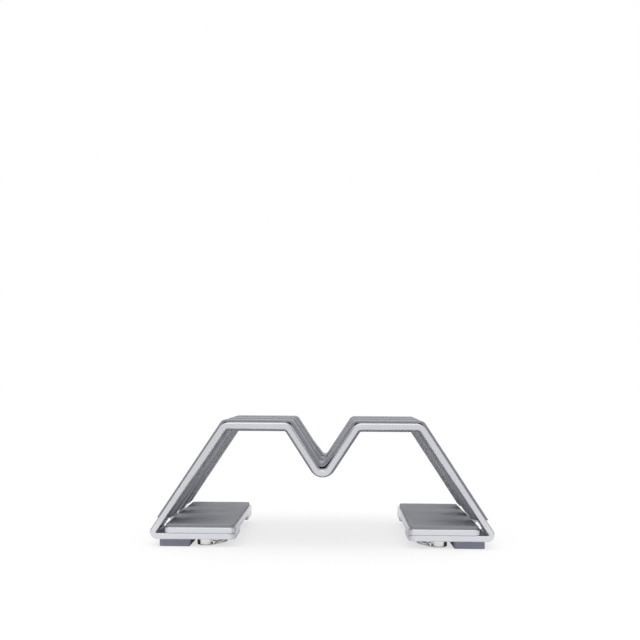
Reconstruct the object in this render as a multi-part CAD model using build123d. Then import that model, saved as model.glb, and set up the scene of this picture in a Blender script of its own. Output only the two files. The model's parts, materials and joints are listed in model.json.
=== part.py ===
from build123d import *
import os
from math import radians, tan

# Vertical stand for two devices: three bent M brackets in a row, in millimetres.
# X runs to the right, Y to the back and Z up, from the middle of the floor under the stand.

# Sheet metal of the brackets
SHEET = 3.0               # thickness of the aluminium sheet
BEND_INSIDE = 2.8         # inside radius of the bends at the humps and the vee
FOOT_BEND_INSIDE = 0.5    # inside radius where a leg turns into its foot
EDGE_BREAK = 0.35         # chamfer along the cut edges
PLATE_CORNER = 3.6        # rounded corners of the feet on the stand's outside, seen from above
SLOT_CORNER = 0.8         # corners of the outer brackets' feet on the device side

# The M, measured on the middle of the sheet
LEAN = 33.3               # slope of the legs and of the vee, in degrees from upright
HUMP_FLAT = 33.2          # top of each hump, from corner to corner
VEE_DEPTH = 27.6          # from the hump tops down to the corner of the vee
RISE = 56.7               # from the outer feet up to the hump tops
FOOT_LENGTH = 44.2        # from a leg's lower corner to the inner end of its foot
BRACKET_DEPTH = 27.0      # strip width of the front and rear brackets
CENTRE_DEPTH = 14.0       # strip width of the centre bracket
PLATE_WIDTH = 37.6        # width of the centre bracket's long feet
RELIEF_WIDTH = 2.4        # notch beside the neck, where a leg leaves a long foot
RELIEF_LENGTH = 3.2

# The two device slots
SLOT_WIDTH = 14.6         # clear width between two facing trims, as the stand is set
SLOT_OPENS = 9.0          # how far an outer bracket slides outward from there
SLOT_CLOSES = 3.0         # and how far it slides inward

# Silicone trim over a bracket's edge
TRIM_WALL = 1.6
TRIM_TOP_WALL = 1.2       # the lip over the humps is stretched thinner
TRIM_FIT = 0.05           # room between the trim's groove and the sheet
TRIM_LIP = 14.5           # how far the lips reach over an outer bracket
CENTRE_TRIM_LIP = 5.0     # how far they reach over the centre bracket
TRIM_HUMP_CORNER = 1.5    # groove radius outside a hump's corner, tighter than the bend
TRIM_VEE_EASE = 0.3       # how much rounder the groove is than the bend in the vee
TRIM_VEE_CORNER = 1.9     # radius of the trim's upper skin in the vee
TRIM_CREEP = 0.9          # how far the upper lip has crept up the left slope of the vee
TRIM_REJOINS = 10.0       # height above the vee where it meets the right slope again
TRIM_REJOIN_BEND = 20.0   # and the radius of its easy bend there
TRIM_LIFT = 1.7           # from the rest liners up to the trim's lower ends
TRIM_EDGE = 0.4           # rounding of the trim's edges
TIGHTEST_CORNER = 0.3     # smallest radius that the trim's skin is moulded with

# Silicone rest liners on the long feet
LINER_THICK = 1.7
LINER_INSET = 1.4         # bare metal around a liner
LINER_EDGE = 0.5

# Rubber feet
FOOT_HEIGHT = 4.0
FOOT_WIDTH = 15.8
FOOT_SETBACK = 3.0        # from the strip's two cut edges to the rubber
FOOT_INSIDE_BEND = 1.0    # from the start of the leg's bend to the rubber
FOOT_CORNER = 1.0
FOOT_EDGE = 0.4

# Clamp screws and their D-rings
SCREW_GAP = 3.1           # from a rubber foot to the screw's head
SCREW_SETBACK = 9.0       # from an outer bracket's cut edge, as the stand is set
SHANK = 5.0
SHANK_SIDE_FIT = 0.2      # room for the shank in a foot's slot
SHANK_FIT = 0.05          # room for the shank in its tapped hole
SHANK_SHORT = 0.2         # how far the shank ends below the liner
HEAD = 8.8                # head diameter
HEAD_HEIGHT = 3.6
HEAD_CHAMFER = 0.4
LUG_WIDTH = 4.0           # lug on the head's rim that holds the ring
LUG_END = 0.85            # radius of the lug's rounded end
RING_WIRE = 0.8
RING_PIVOT = 5.0          # from the screw's axis to the lug's cross hole
RING_DROP = 2.7           # from the head's seat down to the cross hole
RING_TILT = 11.6          # how far a ring at rest is folded up from level, in degrees
RING_REACH = 6.6          # from the cross hole to the ring's far side
RING_HALF = 4.2           # from the ring's middle to the middle of an arm's wire
RING_FIT = 0.05           # room for the ring's straight side in the cross hole
RING_CORNER = 1.2         # wire bend from the straight side to an arm
RING_FAR_BEND = 2.8       # wire bend at the far side

SIDES = {"left": -1, "right": 1}
ENDS = {"front": -1, "rear": 1}

# Heights of the middle of the sheet
OUTER_FOOT_Z = FOOT_HEIGHT + SHEET / 2
CENTRE_FOOT_Z = OUTER_FOOT_Z + SHEET
TOP_Z = OUTER_FOOT_Z + RISE
VEE_Z = TOP_Z - VEE_DEPTH
PLATE_TOP_Z = CENTRE_FOOT_Z + SHEET / 2
TRIM_END_Z = PLATE_TOP_Z + LINER_THICK + TRIM_LIFT

# Places across the stand
SLOPE = tan(radians(LEAN))
VEE_TOP_X = VEE_DEPTH * SLOPE
LEG_TOP_X = VEE_TOP_X + HUMP_FLAT
OUTER_CORNER_X = LEG_TOP_X + RISE * SLOPE
FOOT_END_X = OUTER_CORNER_X - FOOT_LENGTH
PLATE_END_X = FOOT_END_X + PLATE_WIDTH
FOOT_BEND = (FOOT_BEND_INSIDE + SHEET / 2) * tan(radians(90 + LEAN) / 2)
RUBBER_X = OUTER_CORNER_X - FOOT_BEND - FOOT_INSIDE_BEND - FOOT_WIDTH / 2
SCREW_X = RUBBER_X - FOOT_WIDTH / 2 - SCREW_GAP - HEAD / 2

# Places along the stand, from its middle
TRIM_REACH = TRIM_FIT + TRIM_WALL
INNER_EDGE_Y = CENTRE_DEPTH / 2 + SLOT_WIDTH + 2 * TRIM_REACH
OUTER_EDGE_Y = INNER_EDGE_Y + BRACKET_DEPTH
SCREW_Y = OUTER_EDGE_Y - SCREW_SETBACK

# Bends of the M from foot to foot: inside radius, and 1 where the outer face is the long way round
HUMP_BENDS = [(BEND_INSIDE, 1)] * 2
TOP_BENDS = HUMP_BENDS + [(BEND_INSIDE, -1)] + HUMP_BENDS
BENDS = [(FOOT_BEND_INSIDE, 1)] + TOP_BENDS + [(FOOT_BEND_INSIDE, 1)]


def m_corners(foot_z):
    """Corners of the M on the middle of the sheet, from the left foot's end to the right's."""
    corner_x = LEG_TOP_X + (TOP_Z - foot_z) * SLOPE
    left = [
        Vector(-FOOT_END_X, foot_z),
        Vector(-corner_x, foot_z),
        Vector(-LEG_TOP_X, TOP_Z),
        Vector(-VEE_TOP_X, TOP_Z),
    ]
    right = [Vector(-corner.X, corner.Y) for corner in reversed(left)]
    return left + [Vector(0, VEE_Z)] + right


def moved_out(corners, distance):
    """The same line moved sideways, outward from the bracket, with mitred corners."""
    runs = [(b - a).normalized() for a, b in zip(corners, corners[1:])]
    outs = [Vector(-run.Y, run.X) for run in runs]
    moved = [corners[0] + outs[0] * distance]
    for corner, before, after in zip(corners[1:], outs, outs[1:]):
        moved.append(corner + (before + after) * (distance / (1 + before.dot(after))))
    moved.append(corners[-1] + outs[-1] * distance)
    return moved


def bend_radii(bends, distance):
    """Corner radii of a line that follows the bends, at a distance out from the middle of the sheet."""
    radii = [inside + SHEET / 2 + turn * distance for inside, turn in bends]
    return [max(radius, TIGHTEST_CORNER) for radius in radii]


def strip(outer, outer_radii, inner, inner_radii, start_y, depth):
    """Solid between two cornered lines, run back from start_y."""
    lines = [
        FilletPolyline(*outer, radius=outer_radii),
        FilletPolyline(*inner, radius=inner_radii),
        Line(outer[0], inner[0]),
        Line(outer[-1], inner[-1]),
    ]
    return Pos(0, start_y, 0) * extrude(Plane.XZ * make_face(lines), amount=depth, dir=(0, 1, 0))


def bent_sheet(foot_z, start_y, depth, front_corner, back_corner):
    """One M of bent sheet with rounded foot ends and broken edges."""
    corners = m_corners(foot_z)
    half = SHEET / 2
    sheet = strip(
        moved_out(corners, half),
        bend_radii(BENDS, half),
        moved_out(corners, -half),
        bend_radii(BENDS, -half),
        start_y,
        depth,
    )
    front_ends = sheet.edges().filter_by(Axis.Z).group_by(Axis.Y)[0]
    sheet = fillet(front_ends, front_corner)
    back_ends = sheet.edges().filter_by(Axis.Z).group_by(Axis.Y)[-1]
    sheet = fillet(back_ends, back_corner)
    return chamfer(cut_edges(sheet), EDGE_BREAK)


def cut_edges(sheet):
    """The long edges that cutting leaves on both faces of a sheet part."""
    cut_faces = sheet.faces().filter_by(Axis.Y) + sheet.faces().filter_by(Axis.X)
    edges = [edge for face in cut_faces for edge in face.edges()]
    upright = sheet.edges().filter_by(Axis.Z)
    return [edge for edge in edges if edge not in upright]


def outer_bracket():
    """Front bracket, with a slot for a clamp screw along each foot."""
    bracket = bent_sheet(OUTER_FOOT_Z, -OUTER_EDGE_Y, BRACKET_DEPTH, PLATE_CORNER, SLOT_CORNER)
    slot_width = SHANK + 2 * SHANK_SIDE_FIT
    slot_length = SLOT_OPENS + SLOT_CLOSES + slot_width
    slot_y = (SLOT_OPENS - SLOT_CLOSES) / 2 - SCREW_Y
    slot = extrude(SlotOverall(slot_length, slot_width, rotation=90), amount=SHEET)
    for side in SIDES.values():
        bracket -= Pos(side * SCREW_X, slot_y, FOOT_HEIGHT) * slot
    return bracket


def long_foot():
    """One of the centre bracket's long feet, seen in the middle of the stand."""
    plate = extrude(
        RectangleRounded(PLATE_WIDTH, 2 * OUTER_EDGE_Y, PLATE_CORNER),
        amount=SHEET,
    )
    rims = plate.faces().filter_by(Axis.Z).edges()
    return chamfer(rims, EDGE_BREAK)


def centre_bracket():
    """Centre bracket: an M on two long feet that take the clamp screws."""
    bracket = bent_sheet(CENTRE_FOOT_Z, -CENTRE_DEPTH / 2, CENTRE_DEPTH, SLOT_CORNER, SLOT_CORNER)
    foot_z = PLATE_TOP_Z - SHEET
    hole = extrude(Circle(SHANK / 2 + SHANK_FIT), amount=SHEET)
    relief = extrude(SlotOverall(2 * RELIEF_LENGTH, RELIEF_WIDTH), amount=SHEET)
    relief_y = (CENTRE_DEPTH + RELIEF_WIDTH) / 2
    for side in SIDES.values():
        bracket += Pos(side * (FOOT_END_X + PLATE_WIDTH / 2), 0, foot_z) * long_foot()
        for end in ENDS.values():
            bracket -= Pos(side * SCREW_X, end * SCREW_Y, foot_z) * hole
            bracket -= Pos(side * PLATE_END_X, end * relief_y, foot_z) * relief
    return bracket


def level_ends(line):
    """Ends a cornered line at the height where the trim is cut off."""
    level = list(line)
    for tip, neighbour in ((0, 1), (-1, -2)):
        run = line[neighbour] - line[tip]
        level[tip] = line[tip] + run * ((TRIM_END_Z - line[tip].Y) / run.Y)
    return level


def lowered_humps(line, drop):
    """Lowers the hump tops of a trim's line along the slopes beside them."""
    lowered = list(line)
    for top, outward in ((1, -1), (2, 1), (4, -1), (5, 1)):
        lowered[top] = line[top] + Vector(outward * drop * SLOPE, -drop)
    return lowered


def crept_vee(line):
    """Lifts the vee's corner along its left slope, where the trim has crept, and rejoins the right slope."""
    middle = len(line) // 2
    crept = line[middle] + Vector(-SLOPE, 1) * TRIM_CREEP
    rejoined = line[middle] + Vector(SLOPE, 1) * TRIM_REJOINS
    return line[:middle] + [crept, rejoined] + line[middle + 1:]


def edge_trim(foot_z, lip):
    """Silicone channel over the rear edge of an M that ends at the stand's middle."""
    corners = m_corners(foot_z)[1:-1]
    groove = SHEET / 2 + TRIM_FIT
    skin = SHEET / 2 + TRIM_REACH
    hump_groove = [TRIM_HUMP_CORNER] * len(HUMP_BENDS)
    hump_skin = [TRIM_HUMP_CORNER + TRIM_WALL] * len(HUMP_BENDS)
    vee_groove = [BEND_INSIDE - TRIM_FIT + TRIM_VEE_EASE, TRIM_REJOIN_BEND]
    vee_skin = [TRIM_VEE_CORNER, TRIM_REJOIN_BEND]
    top_line = level_ends(moved_out(corners, skin))
    trim = strip(
        crept_vee(lowered_humps(top_line, TRIM_WALL - TRIM_TOP_WALL)),
        hump_skin + vee_skin + hump_skin,
        level_ends(moved_out(corners, -skin)),
        bend_radii(TOP_BENDS, -skin),
        -lip,
        lip + TRIM_REACH,
    )
    trim = fillet(trim.faces().filter_by(Axis.Y).edges(), TRIM_EDGE)
    return trim - strip(
        crept_vee(level_ends(moved_out(corners, groove))),
        hump_groove + vee_groove + hump_groove,
        level_ends(moved_out(corners, -groove)),
        bend_radii(TOP_BENDS, -groove),
        -lip,
        lip + TRIM_FIT,
    )


def rest_liner():
    """Silicone strip that covers one long foot."""
    width = PLATE_WIDTH - 2 * LINER_INSET
    length = 2 * (OUTER_EDGE_Y - LINER_INSET)
    liner = extrude(RectangleRounded(width, length, PLATE_CORNER - LINER_INSET), amount=LINER_THICK)
    return fillet(liner.faces().sort_by(Axis.Z)[-1].edges(), LINER_EDGE)


def rubber_foot():
    """Rubber block under one foot of an outer bracket, standing on the floor."""
    length = BRACKET_DEPTH - 2 * FOOT_SETBACK
    foot = extrude(RectangleRounded(FOOT_WIDTH, length, FOOT_CORNER), amount=FOOT_HEIGHT)
    return fillet(foot.faces().sort_by(Axis.Z)[0].edges(), FOOT_EDGE)


def clamp_screw():
    """Screw, head down, with its seat on the middle of the floor and its ring's lug towards +X."""
    head = extrude(Circle(HEAD / 2), amount=-HEAD_HEIGHT)
    head = chamfer(head.edges().filter_by(GeomType.CIRCLE), HEAD_CHAMFER)
    lug_side = Pos(RING_PIVOT / 2, 0) * Rectangle(RING_PIVOT, 2 * LUG_END)
    lug_side += Pos(RING_PIVOT, 0) * Circle(LUG_END)
    lug = extrude(Plane.XZ * lug_side, amount=LUG_WIDTH / 2, both=True)
    shank = extrude(Circle(SHANK / 2), amount=2 * SHEET - SHANK_SHORT)
    shank = chamfer(shank.faces().sort_by(Axis.Z)[-1].edges(), HEAD_CHAMFER)
    cross_hole = extrude(Plane.XZ * Circle(RING_WIRE / 2 + RING_FIT), amount=HEAD, both=True)
    return head + Pos(0, 0, -RING_DROP) * lug + shank - Pos(RING_PIVOT, 0, -RING_DROP) * cross_hole


def d_ring():
    """Wire ring with its straight side in the lug's cross hole, folded up under the foot towards +X."""
    far = RING_REACH - RING_WIRE / 2
    route = FilletPolyline(
        (0, 0),
        (0, RING_HALF),
        (far, RING_HALF),
        (far, 0),
        radius=[RING_CORNER, RING_FAR_BEND],
    )
    half = sweep(Plane(origin=route @ 0, z_dir=route % 0) * Circle(RING_WIRE / 2), path=route)
    ring = half + mirror(half, about=Plane.XZ)
    return Pos(RING_PIVOT, 0, -RING_DROP) * Rot(0, -RING_TILT, 0) * ring


def build():
    """Every piece of the stand in its place, by name."""
    turned_round = Rot(0, 0, 180)
    bracket = outer_bracket()
    outer_trim = edge_trim(OUTER_FOOT_Z, TRIM_LIP)
    centre_trim = edge_trim(CENTRE_FOOT_Z, CENTRE_TRIM_LIP)
    pieces = {
        "front_bracket": bracket,
        "rear_bracket": turned_round * bracket,
        "centre_bracket": centre_bracket(),
        "front_edge_trim": Pos(0, -INNER_EDGE_Y, 0) * outer_trim,
        "rear_edge_trim": Pos(0, INNER_EDGE_Y, 0) * turned_round * outer_trim,
        "centre_front_trim": Pos(0, -CENTRE_DEPTH / 2, 0) * turned_round * centre_trim,
        "centre_rear_trim": Pos(0, CENTRE_DEPTH / 2, 0) * centre_trim,
    }
    rubber_y = OUTER_EDGE_Y - BRACKET_DEPTH / 2
    for side_name, side in SIDES.items():
        inward = turned_round if side > 0 else Rot(0, 0, 0)
        liner_x = side * (FOOT_END_X + PLATE_WIDTH / 2)
        pieces[f"{side_name}_rest_liner"] = Pos(liner_x, 0, PLATE_TOP_Z) * rest_liner()
        for end_name, end in ENDS.items():
            screw_seat = Pos(side * SCREW_X, end * SCREW_Y, FOOT_HEIGHT) * inward
            corner = f"{end_name}_{side_name}"
            pieces[f"{corner}_foot"] = Pos(side * RUBBER_X, end * rubber_y, 0) * rubber_foot()
            pieces[f"{corner}_screw"] = screw_seat * clamp_screw()
            pieces[f"{corner}_ring"] = screw_seat * d_ring()
    return pieces


os.makedirs("parts", exist_ok=True)
for name, piece in build().items():
    export_step(piece, f"parts/{name}.step")
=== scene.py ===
import json
import math

import bpy
from mathutils import Matrix, Vector


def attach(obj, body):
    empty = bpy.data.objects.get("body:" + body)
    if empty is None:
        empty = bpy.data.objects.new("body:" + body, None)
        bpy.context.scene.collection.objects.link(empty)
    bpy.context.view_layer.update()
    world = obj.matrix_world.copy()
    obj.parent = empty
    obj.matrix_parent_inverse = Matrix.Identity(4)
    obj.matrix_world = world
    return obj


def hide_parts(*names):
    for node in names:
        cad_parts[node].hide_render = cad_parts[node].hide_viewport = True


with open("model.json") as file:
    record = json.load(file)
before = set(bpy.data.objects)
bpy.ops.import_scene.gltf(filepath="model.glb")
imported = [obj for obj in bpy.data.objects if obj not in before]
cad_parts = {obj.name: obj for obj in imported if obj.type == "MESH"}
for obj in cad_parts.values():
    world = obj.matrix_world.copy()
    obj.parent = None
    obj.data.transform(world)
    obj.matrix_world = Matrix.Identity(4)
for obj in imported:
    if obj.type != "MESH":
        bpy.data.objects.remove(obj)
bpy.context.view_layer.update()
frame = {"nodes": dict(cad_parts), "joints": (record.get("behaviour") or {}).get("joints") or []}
nodes = frame["nodes"]


# Brackets: three strips of 3 mm aluminium sheet, cut, bent into an M and chamfered along the cut edges.
# Afterwards they are bead-blasted and clear anodised, which leaves a fine, even, silvery frost.
# The centre one carries the two long feet; the outer two are clamped under them by screws.
def surface_grain_group():
    """Fine grain, drawn out where Stretch is small, and broad patches over a surface, both from 0 to 1."""
    grain_detail = 2.0
    patch_detail = 3.0
    group = bpy.data.node_groups.new("surface_grain", "ShaderNodeTree")
    face = group.interface
    face.new_socket("Grains per Metre", in_out="INPUT", socket_type="NodeSocketFloat")
    face.new_socket("Patches per Metre", in_out="INPUT", socket_type="NodeSocketFloat")
    face.new_socket("Stretch", in_out="INPUT", socket_type="NodeSocketVector")
    face.new_socket("Grain", in_out="OUTPUT", socket_type="NodeSocketFloat")
    face.new_socket("Patches", in_out="OUTPUT", socket_type="NodeSocketFloat")
    inputs = group.nodes.new("NodeGroupInput")
    outputs = group.nodes.new("NodeGroupOutput")
    place = group.nodes.new("ShaderNodeTexCoord").outputs["Object"]
    drawn = group.nodes.new("ShaderNodeVectorMath")
    drawn.operation = "MULTIPLY"
    group.links.new(place, drawn.inputs[0])
    group.links.new(inputs.outputs["Stretch"], drawn.inputs[1])
    for name, scale, detail, where in (
        ("Grain", "Grains per Metre", grain_detail, drawn.outputs["Vector"]),
        ("Patches", "Patches per Metre", patch_detail, place),
    ):
        noise = group.nodes.new("ShaderNodeTexNoise")
        noise.inputs["Detail"].default_value = detail
        group.links.new(where, noise.inputs["Vector"])
        group.links.new(inputs.outputs[scale], noise.inputs["Scale"])
        group.links.new(noise.outputs["Fac"], outputs.inputs[name])
    return group


def edge_highlight_group():
    """Mask of the outer edges of a piece, where a highlight is painted."""
    flat_agreement = 1.0
    edge_agreement = 0.85
    group = bpy.data.node_groups.new("edge_highlight", "ShaderNodeTree")
    face = group.interface
    face.new_socket("Width", in_out="INPUT", socket_type="NodeSocketFloat")
    face.new_socket("Highlight", in_out="OUTPUT", socket_type="NodeSocketFloat")
    inputs = group.nodes.new("NodeGroupInput")
    outputs = group.nodes.new("NodeGroupOutput")
    rounded = group.nodes.new("ShaderNodeBevel")
    rounded.samples = 4
    flat = group.nodes.new("ShaderNodeNewGeometry")
    agree = group.nodes.new("ShaderNodeVectorMath")
    agree.operation = "DOT_PRODUCT"
    spread = group.nodes.new("ShaderNodeMapRange")
    spread.inputs["From Min"].default_value = flat_agreement
    spread.inputs["From Max"].default_value = edge_agreement
    group.links.new(inputs.outputs["Width"], rounded.inputs["Radius"])
    group.links.new(rounded.outputs["Normal"], agree.inputs[0])
    group.links.new(flat.outputs["Normal"], agree.inputs[1])
    group.links.new(agree.outputs["Value"], spread.inputs["Value"])
    group.links.new(spread.outputs["Result"], outputs.inputs["Highlight"])
    return group


surface_grain = surface_grain_group()
edge_highlight = edge_highlight_group()


def grained_material(name, grains, patches, grain_depth, dark, light, smooth, rough,
                     metallic=0.0, stretch=(1, 1, 1)):
    """A material with its own grain, whose colour and roughness drift a little from patch to patch."""
    low_patch = 0.3
    high_patch = 0.7
    material = bpy.data.materials.new(name)
    material.use_nodes = True
    tree = material.node_tree
    shader = tree.nodes["Principled BSDF"]
    shader.inputs["Metallic"].default_value = metallic
    grain = tree.nodes.new("ShaderNodeGroup")
    grain.node_tree = surface_grain
    grain.inputs["Grains per Metre"].default_value = grains
    grain.inputs["Patches per Metre"].default_value = patches
    grain.inputs["Stretch"].default_value = stretch
    tint = tree.nodes.new("ShaderNodeMix")
    tint.name = "tint"
    tint.data_type = "RGBA"
    tint.inputs["A"].default_value = (*dark, 1)
    tint.inputs["B"].default_value = (*light, 1)
    roughness = tree.nodes.new("ShaderNodeMapRange")
    roughness.inputs["From Min"].default_value = low_patch
    roughness.inputs["From Max"].default_value = high_patch
    roughness.inputs["To Min"].default_value = smooth
    roughness.inputs["To Max"].default_value = rough
    bump = tree.nodes.new("ShaderNodeBump")
    bump.inputs["Strength"].default_value = 1.0
    bump.inputs["Distance"].default_value = grain_depth
    tree.links.new(grain.outputs["Patches"], tint.inputs["Factor"])
    tree.links.new(tint.outputs["Result"], shader.inputs["Base Color"])
    tree.links.new(grain.outputs["Patches"], roughness.inputs["Value"])
    tree.links.new(roughness.outputs["Result"], shader.inputs["Roughness"])
    tree.links.new(grain.outputs["Grain"], bump.inputs["Height"])
    tree.links.new(bump.outputs["Normal"], shader.inputs["Normal"])
    return material


def paint_edge_highlights(material, width, colour, amount):
    """Paints a paler line along the outer edges of a grained material, as a painted highlight."""
    tree = material.node_tree
    highlight = tree.nodes.new("ShaderNodeGroup")
    highlight.node_tree = edge_highlight
    highlight.inputs["Width"].default_value = width
    share = tree.nodes.new("ShaderNodeMath")
    share.operation = "MULTIPLY"
    share.inputs[1].default_value = amount
    paler = tree.nodes.new("ShaderNodeMix")
    paler.data_type = "RGBA"
    paler.inputs["B"].default_value = (*colour, 1)
    tree.links.new(highlight.outputs["Highlight"], share.inputs[0])
    tree.links.new(share.outputs["Value"], paler.inputs["Factor"])
    tree.links.new(tree.nodes["tint"].outputs["Result"], paler.inputs["A"])
    tree.links.new(paler.outputs["Result"], tree.nodes["Principled BSDF"].inputs["Base Color"])


def finish_with(material, *names):
    """Gives CAD pieces their finish."""
    for name in names:
        nodes[name].data.materials.clear()
        nodes[name].data.materials.append(material)


frosted_aluminium = grained_material(
    "frosted_aluminium", grains=5200, patches=45, grain_depth=0.000006, metallic=1.0,
    dark=(0.615, 0.62, 0.655), light=(0.675, 0.68, 0.715), smooth=0.34, rough=0.42,
)
# Painted highlight: a paler line along the chamfered edges stands in for their glint.
paint_edge_highlights(frosted_aluminium, width=0.0004, colour=(0.78, 0.785, 0.82), amount=0.6)
finish_with(frosted_aluminium, "centre_bracket", "front_bracket", "rear_bracket")


# Edge trims and rest liners: grey silicone, moulded in channels and strips and left matt.
# The channels are pushed over the brackets' edges; the strips are glued on the long feet.
grey_silicone = grained_material(
    "grey_silicone", grains=3200, patches=70, grain_depth=0.0000015,
    dark=(0.307, 0.314, 0.345), light=(0.348, 0.356, 0.389), smooth=0.5, rough=0.62,
)
# Painted highlight: a paler line along the rounded edges stands in for their sheen.
paint_edge_highlights(grey_silicone, width=0.0005, colour=(0.45, 0.457, 0.485), amount=0.45)
finish_with(
    grey_silicone, "centre_front_trim", "centre_rear_trim", "front_edge_trim", "rear_edge_trim",
    "left_rest_liner", "right_rest_liner",
)


# Rubber feet: blocks of blue-grey rubber, cut from sheet and glued under the outer brackets' feet.
# Their cut sides are a little rougher than the silicone.
foot_rubber = grained_material(
    "foot_rubber", grains=2200, patches=110, grain_depth=0.000006,
    dark=(0.310, 0.320, 0.394), light=(0.362, 0.373, 0.457), smooth=0.62, rough=0.76,
)
finish_with(foot_rubber, "front_left_foot", "front_right_foot", "rear_left_foot", "rear_right_foot")


# Clamp screws: turned steel with a lug on the head's rim, polished and nickel plated.
# Each comes up through a slot in an outer bracket's foot into a tapped hole in a long foot.
# Turning leaves fine lines round the head; the thread runs from the tip to a plain neck over the head.
plated_steel = grained_material(
    "plated_steel", grains=3400, patches=160, grain_depth=0.000004, metallic=1.0, stretch=(0.04, 0.04, 1),
    dark=(0.66, 0.64, 0.605), light=(0.73, 0.71, 0.67), smooth=0.08, rough=0.16,
)


def cut_thread_group(finish):
    """Cuts a right-hand groove along an upright shank, from a start point on its axis."""
    steps_per_turn = 40
    weld_distance = 0.000001
    sharpest_smooth_edge = math.radians(35)
    group = bpy.data.node_groups.new("cut_thread", "GeometryNodeTree")
    face = group.interface
    face.new_socket("Geometry", in_out="INPUT", socket_type="NodeSocketGeometry")
    face.new_socket("Start", in_out="INPUT", socket_type="NodeSocketVector")
    for size in ("Turns", "Rise", "Groove Radius", "Groove Depth", "Groove Mouth", "Groove Floor"):
        face.new_socket(size, in_out="INPUT", socket_type="NodeSocketFloat")
    face.new_socket("Geometry", in_out="OUTPUT", socket_type="NodeSocketGeometry")
    inputs = group.nodes.new("NodeGroupInput")
    outputs = group.nodes.new("NodeGroupOutput")
    spiral = group.nodes.new("GeometryNodeCurveSpiral")
    spiral.inputs["Resolution"].default_value = steps_per_turn
    spiral.inputs["Reverse"].default_value = True
    upright = group.nodes.new("GeometryNodeSetCurveNormal")
    upright.mode = "Z_UP"
    groove = group.nodes.new("GeometryNodeCurvePrimitiveQuadrilateral")
    groove.mode = "TRAPEZOID"
    groove.inputs["Offset"].default_value = 0.0
    inward = group.nodes.new("GeometryNodeTransform")
    inward.inputs["Rotation"].default_value = (0, 0, math.radians(90))
    sweep = group.nodes.new("GeometryNodeCurveToMesh")
    sweep.inputs["Fill Caps"].default_value = True
    place = group.nodes.new("GeometryNodeTransform")
    weld = group.nodes.new("GeometryNodeMergeByDistance")
    weld.inputs["Distance"].default_value = weld_distance
    cut = group.nodes.new("GeometryNodeMeshBoolean")
    cut.operation = "DIFFERENCE"
    cut.solver = "EXACT"
    rounded = group.nodes.new("GeometryNodeSetShadeSmooth")
    edge = group.nodes.new("GeometryNodeInputMeshEdgeAngle")
    gentle = group.nodes.new("FunctionNodeCompare")
    gentle.operation = "LESS_THAN"
    gentle.inputs["B"].default_value = sharpest_smooth_edge
    creases = group.nodes.new("GeometryNodeSetShadeSmooth")
    creases.domain = "EDGE"
    realise = group.nodes.new("GeometryNodeRealizeInstances")
    plate = group.nodes.new("GeometryNodeSetMaterial")
    plate.inputs["Material"].default_value = finish
    for out, into in (
        (inputs.outputs["Turns"], spiral.inputs["Rotations"]),
        (inputs.outputs["Rise"], spiral.inputs["Height"]),
        (inputs.outputs["Groove Radius"], spiral.inputs["Start Radius"]),
        (inputs.outputs["Groove Radius"], spiral.inputs["End Radius"]),
        (inputs.outputs["Groove Depth"], groove.inputs["Height"]),
        (inputs.outputs["Groove Mouth"], groove.inputs["Bottom Width"]),
        (inputs.outputs["Groove Floor"], groove.inputs["Top Width"]),
        (spiral.outputs["Curve"], upright.inputs["Curve"]),
        (upright.outputs["Curve"], sweep.inputs["Curve"]),
        (groove.outputs["Curve"], inward.inputs["Geometry"]),
        (inward.outputs["Geometry"], sweep.inputs["Profile Curve"]),
        (sweep.outputs["Mesh"], place.inputs["Geometry"]),
        (inputs.outputs["Start"], place.inputs["Translation"]),
        (inputs.outputs["Geometry"], weld.inputs["Geometry"]),
        (weld.outputs["Geometry"], cut.inputs["Mesh 1"]),
        (place.outputs["Geometry"], cut.inputs["Mesh 2"]),
        (cut.outputs["Mesh"], rounded.inputs["Geometry"]),
        (rounded.outputs["Geometry"], creases.inputs["Geometry"]),
        (edge.outputs["Unsigned Angle"], gentle.inputs["A"]),
        (gentle.outputs["Result"], creases.inputs["Shade Smooth"]),
        (creases.outputs["Geometry"], realise.inputs["Geometry"]),
        (realise.outputs["Geometry"], plate.inputs["Geometry"]),
        (plate.outputs["Geometry"], outputs.inputs["Geometry"]),
    ):
        group.links.new(out, into)
    return group


shank_radius = 0.0025
pitch = 0.0008
turns = 7.0
neck = Vector((0, 0, 0.0009))
thread_depth = 0.6134 * pitch
thread_mouth = 0.875 * pitch
flank_slope = math.tan(math.radians(30))
overcut = 0.00005
thread_sizes = {
    "Turns": turns,
    "Rise": turns * pitch,
    "Groove Radius": shank_radius + (overcut - thread_depth) / 2,
    "Groove Depth": thread_depth + overcut,
    "Groove Mouth": thread_mouth + 2 * overcut * flank_slope,
    "Groove Floor": thread_mouth - 2 * thread_depth * flank_slope,
}
cut_thread = cut_thread_group(plated_steel)
sockets = cut_thread.interface.items_tree
screw_joints = [joint for joint in frame["joints"] if joint["name"].endswith("screw_turn")]
for joint in screw_joints:
    name = joint["child"]
    blank = bpy.data.objects.new("blank", nodes[name].data.copy())
    bpy.context.scene.collection.objects.link(blank)
    blank.data.attributes.remove(blank.data.attributes["custom_normal"])
    blank.data.materials.clear()
    thread = blank.modifiers.new("thread", "NODES")
    thread.node_group = cut_thread
    thread[sockets["Start"].identifier] = Vector(joint["pos_m"]) + neck
    for size, value in thread_sizes.items():
        thread[sockets[size].identifier] = value
    solved = blank.evaluated_get(bpy.context.evaluated_depsgraph_get())
    screw = bpy.data.objects.new(f"{name}_threaded", bpy.data.meshes.new_from_object(solved))
    bpy.context.scene.collection.objects.link(screw)
    bpy.data.objects.remove(blank)
    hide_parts(name)
    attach(screw, name)


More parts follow.
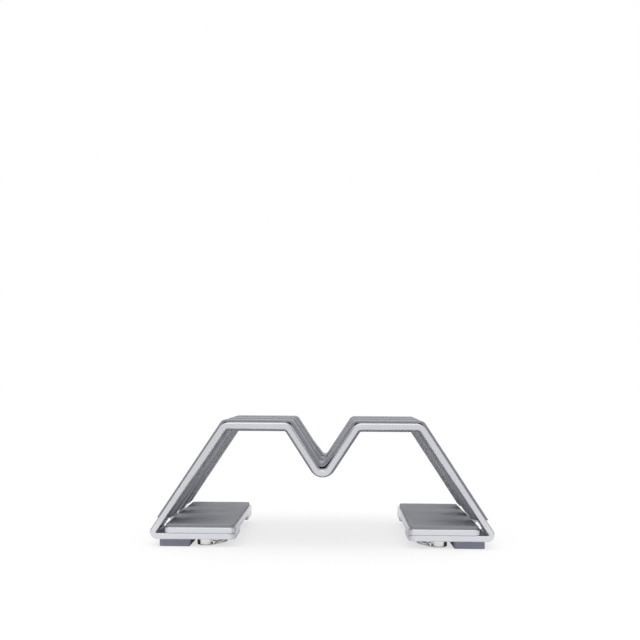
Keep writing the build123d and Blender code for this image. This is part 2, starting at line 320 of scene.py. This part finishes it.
# D-rings: drawn steel wire bent to a D and nickel plated, with its ends meeting inside a screw's lug.
# They lie folded up under the feet and drop to turn a screw by hand.
# The wire's colour is darker than the screws' plating: painted shade for the dark it mirrors under the
# feet.
ring_wire = grained_material(
    "ring_wire", grains=2400, patches=200, grain_depth=0.000003, metallic=1.0,
    dark=(0.50, 0.495, 0.49), light=(0.60, 0.595, 0.585), smooth=0.12, rough=0.24,
)
finish_with(ring_wire, "front_left_ring", "front_right_ring", "rear_left_ring", "rear_right_ring")


# Floor, light and camera: a white table under soft light, seen from just above the humps.
# In the metal the table shows a painted pool of light near the stand, and the room dims towards both sides.
def level_by_ray(tree, shown):
    """One level for rays that light the scene, one for mirrored rays and a third that the picture shows."""
    ray = tree.nodes.new("ShaderNodeLightPath")
    unshown = tree.nodes.new("ShaderNodeMix")
    level = tree.nodes.new("ShaderNodeMix")
    level.inputs["B"].default_value = shown
    tree.links.new(ray.outputs["Is Glossy Ray"], unshown.inputs["Factor"])
    tree.links.new(unshown.outputs["Result"], level.inputs["A"])
    tree.links.new(ray.outputs["Is Camera Ray"], level.inputs["Factor"])
    return unshown.inputs["A"], unshown.inputs["B"], level.outputs["Result"]


def fade(tree, start, end, first, last):
    """A level that goes evenly from first to last as its value goes from start to end."""
    ramp = tree.nodes.new("ShaderNodeMapRange")
    ramp.inputs["From Min"].default_value = start
    ramp.inputs["From Max"].default_value = end
    ramp.inputs["To Min"].default_value = first
    ramp.inputs["To Max"].default_value = last
    return ramp.inputs["Value"], ramp.outputs["Result"]


table_reach = 6.0
table_corners = [(x * table_reach, y * table_reach, 0) for x, y in ((-1, -1), (1, -1), (1, 1), (-1, 1))]
table_mesh = bpy.data.meshes.new("table")
table_mesh.from_pydata(table_corners, [], [(0, 1, 2, 3)])
table = bpy.data.objects.new("table", table_mesh)
bpy.context.scene.collection.objects.link(table)
table_white = bpy.data.materials.new("table_white")
table_white.use_nodes = True
tree = table_white.node_tree
shader = tree.nodes["Principled BSDF"]
shader.inputs["Roughness"].default_value = 0.9
shader.inputs["Specular IOR Level"].default_value = 0.0
shader.inputs["Emission Color"].default_value = (1, 1, 1, 1)
place = tree.nodes.new("ShaderNodeTexCoord")
away = tree.nodes.new("ShaderNodeVectorMath")
away.operation = "LENGTH"
# Painted pool of light: in reflections the table's colour is paler near the stand and fades further out.
painted_pool_distance, painted_pool = fade(tree, start=0.08, end=0.25, first=1.30, last=0.87)
lit, mirrored, paleness = level_by_ray(tree, shown=0.36)
lit.default_value = 0.70
tree.links.new(place.outputs["Object"], away.inputs[0])
tree.links.new(away.outputs["Value"], painted_pool_distance)
tree.links.new(painted_pool, mirrored)
tree.links.new(paleness, shader.inputs["Base Color"])
lit, mirrored, glow = level_by_ray(tree, shown=0.66)
lit.default_value = 0.0
mirrored.default_value = 0.0
tree.links.new(glow, shader.inputs["Emission Strength"])
table_mesh.materials.append(table_white)

world = bpy.data.worlds.new("soft_room")
bpy.context.scene.world = world
world.use_nodes = True
tree = world.node_tree
room = tree.nodes["Background"]
room.inputs["Color"].default_value = (1, 1, 1, 1)
direction = tree.nodes.new("ShaderNodeTexCoord")
parts = tree.nodes.new("ShaderNodeSeparateXYZ")
sideways = tree.nodes.new("ShaderNodeMath")
sideways.operation = "ABSOLUTE"
ceiling_value, ceiling = fade(tree, start=0.0, end=1.0, first=0.30, last=1.12)
walls_value, walls = fade(tree, start=0.30, end=0.95, first=1.06, last=0.15)
lit, mirrored, brightness = level_by_ray(tree, shown=1.0)
tree.links.new(direction.outputs["Generated"], parts.inputs["Vector"])
tree.links.new(parts.outputs["Z"], ceiling_value)
tree.links.new(parts.outputs["X"], sideways.inputs[0])
tree.links.new(sideways.outputs["Value"], walls_value)
tree.links.new(ceiling, lit)
tree.links.new(walls, mirrored)
tree.links.new(brightness, room.inputs["Strength"])

overhead = bpy.data.lights.new("overhead", "SUN")
overhead.energy = 0.5
overhead.angle = math.radians(60)
overhead_lamp = bpy.data.objects.new("overhead", overhead)
bpy.context.scene.collection.objects.link(overhead_lamp)
overhead_lamp.rotation_euler = (math.radians(26), 0, math.radians(-20))

sensor_width = 36.0
photo_width = 640
focal_length_in_pixels = 1030
camera_place = (0.00780, -0.58555, 0.08394)
camera_swing = math.radians(1.014)
camera_tip = math.radians(90 + 3.571)
camera_roll = math.radians(0.386)
lens = bpy.data.cameras.new("camera")
lens.sensor_width = sensor_width
lens.lens = sensor_width * focal_length_in_pixels / photo_width
lens.clip_start = 0.01
camera = bpy.data.objects.new("camera", lens)
bpy.context.scene.collection.objects.link(camera)
camera.matrix_world = (
    Matrix.Translation(camera_place)
    @ Matrix.Rotation(camera_swing, 4, "Z")
    @ Matrix.Rotation(camera_tip, 4, "X")
    @ Matrix.Rotation(camera_roll, 4, "Z")
)
bpy.context.scene.camera = camera
bpy.context.scene.view_settings.view_transform = "Standard"
